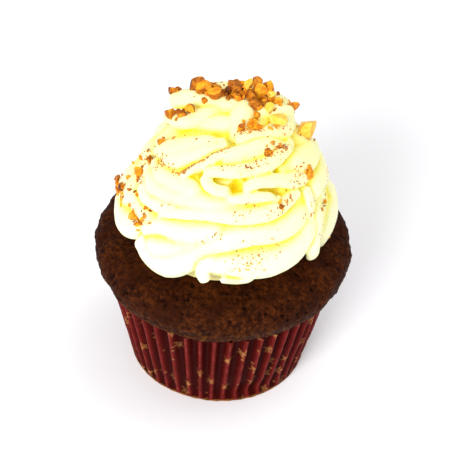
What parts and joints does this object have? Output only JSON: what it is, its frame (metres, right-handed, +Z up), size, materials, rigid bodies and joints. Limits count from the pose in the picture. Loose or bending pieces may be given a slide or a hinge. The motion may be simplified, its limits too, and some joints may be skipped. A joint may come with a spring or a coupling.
{
  "type": "cupcake",
  "caption": "Chocolate cupcake in a pleated paper case, topped with a swirl of piped cream and chopped nuts; stands on its flat base.",
  "frame": {"origin": "centre of the paper case's flat base, on the surface it stands on", "axes": "+Z up along the case's axis; the cupcake's front faces -Y, +X to its right"},
  "size_m": [0.0738, 0.0741, 0.0888],
  "materials": {
    "paper_case": "waxed dark red paper with small gold stars",
    "cake": "moist dark chocolate crumb",
    "cream": "satin off-white piped cream with chopped nuts"
  },
  "bodies": {
    "root": {"paper_case": "paper_case", "cake": "cake", "cream": "cream"}
  },
  "joints": []
}
